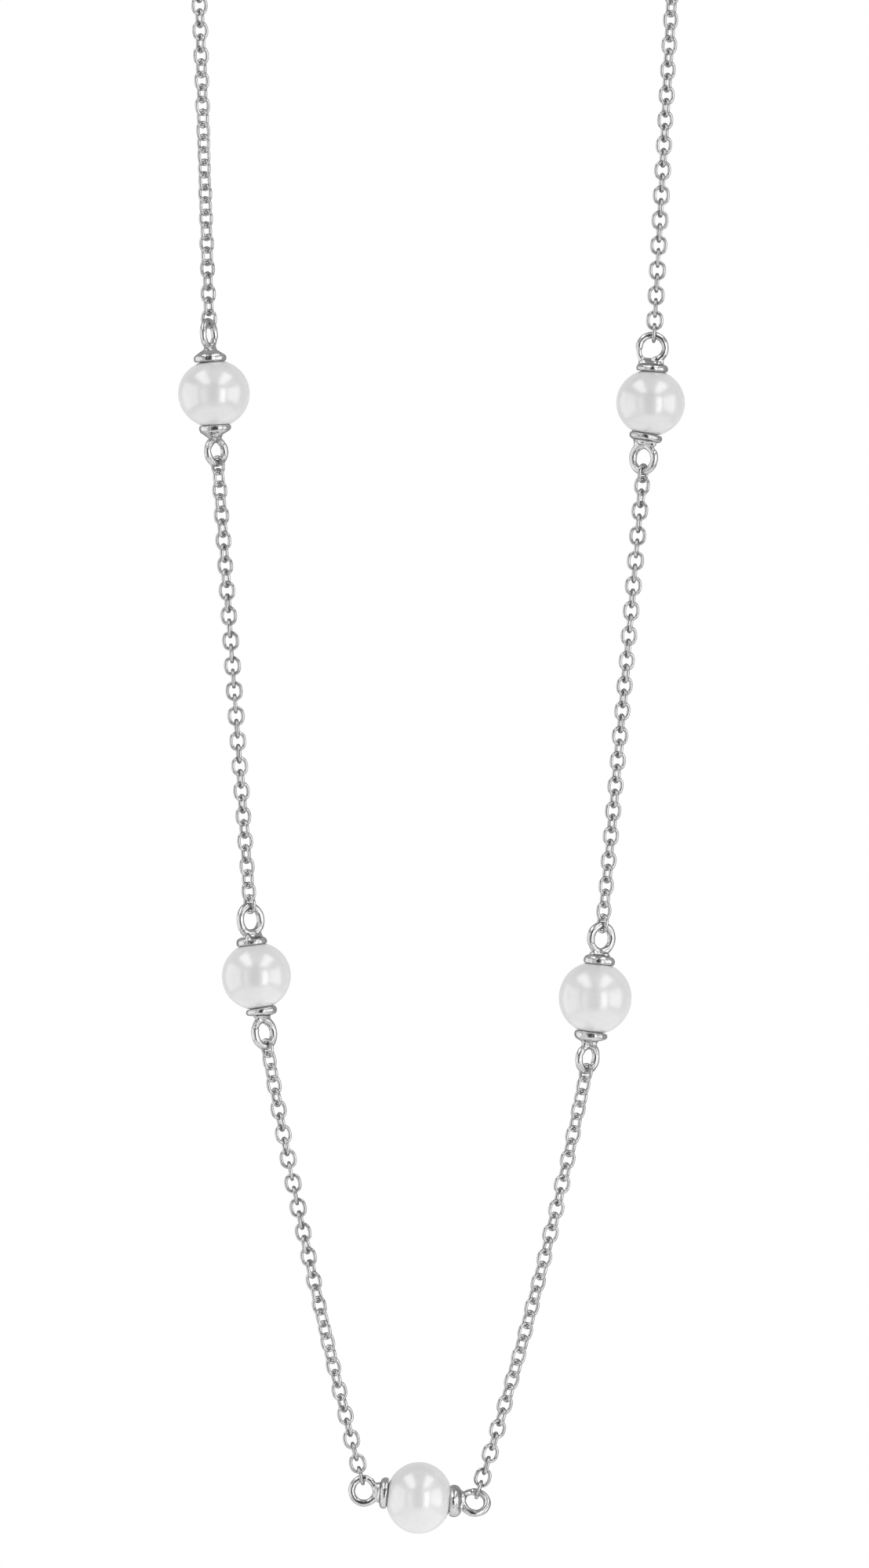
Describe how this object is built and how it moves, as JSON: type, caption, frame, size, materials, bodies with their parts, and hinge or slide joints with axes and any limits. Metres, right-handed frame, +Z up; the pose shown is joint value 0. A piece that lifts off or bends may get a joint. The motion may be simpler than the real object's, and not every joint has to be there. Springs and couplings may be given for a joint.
{
  "type": "pearl chain necklace",
  "caption": "Cable chain necklace with round pearls set between cast bead caps with eye rings, closed by a spring ring clasp.",
  "frame": {"origin": "underside of the spring ring clasp at the top middle of the loop, where the necklace hangs", "axes": "+Z up, along the loop's length; +X to the right as the picture sees it; +Y away from the viewer, through the flat loop"},
  "size_m": [0.0462, 0.0062, 0.2155],
  "materials": {
    "pearl": "white pearl with a soft satin lustre",
    "cap_silver": "bright cast silver, slightly uneven from casting and soldering",
    "chain_silver": "bright polished silver wire",
    "clasp_silver": "bright polished silver"
  },
  "bodies": {
    "root": {"pearl_upper_left": "pearl", "pearl_upper_right": "pearl", "pearl_lower_left": "pearl", "pearl_lower_right": "pearl", "pearl_bottom": "pearl", "cap_upper_left_top": "cap_silver", "cap_upper_left_base": "cap_silver", "cap_upper_right_top": "cap_silver", "cap_upper_right_base": "cap_silver", "cap_lower_left_top": "cap_silver", "cap_lower_left_base": "cap_silver", "cap_lower_right_top": "cap_silver", "cap_lower_right_base": "cap_silver", "cap_bottom_left": "cap_silver", "cap_bottom_right": "cap_silver", "chain_upper_left": "chain_silver", "chain_mid_left": "chain_silver", "chain_low_left": "chain_silver", "chain_low_right": "chain_silver", "chain_mid_right": "chain_silver", "chain_upper_right": "chain_silver", "back_chain_left": "chain_silver", "back_chain_right": "chain_silver", "clasp": "clasp_silver", "end_ring": "clasp_silver"}
  },
  "joints": []
}
